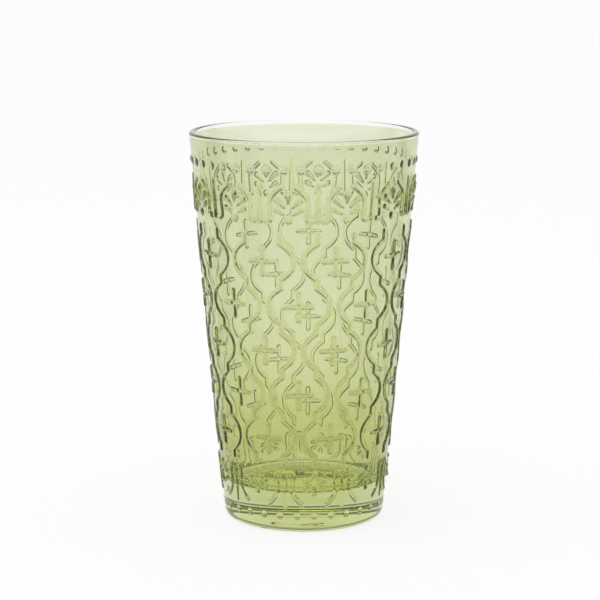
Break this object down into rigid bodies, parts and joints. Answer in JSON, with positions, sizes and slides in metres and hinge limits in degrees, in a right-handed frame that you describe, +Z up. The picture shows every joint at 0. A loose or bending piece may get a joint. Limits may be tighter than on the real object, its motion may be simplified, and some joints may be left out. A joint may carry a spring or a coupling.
{
  "type": "highball glass",
  "caption": "Tall tapered pressed-glass tumbler with a thick base, raised beads, tulips, palmettes and an ogee trellis with crosses, and a green film inside.",
  "frame": {"origin": "centre of the foot, on the table", "axes": "+Z up the glass's axis, -Y to the front, where a tulip of the upper frieze and a palmette of the lower one stand over each other"},
  "size_m": [0.0842, 0.0842, 0.144],
  "materials": {
    "pressed_glass": "polished",
    "colour_film": "gloss"
  },
  "bodies": {
    "root": {"glass_body": "pressed_glass", "colour_film": "colour_film", "rim_beads": "pressed_glass", "upper_tulips": "pressed_glass", "upper_palmettes": "pressed_glass", "ogee_trellis": "pressed_glass", "trellis_crosses": "pressed_glass", "lower_tulips": "pressed_glass", "lower_palmettes": "pressed_glass", "foot_dots": "pressed_glass"}
  },
  "joints": []
}
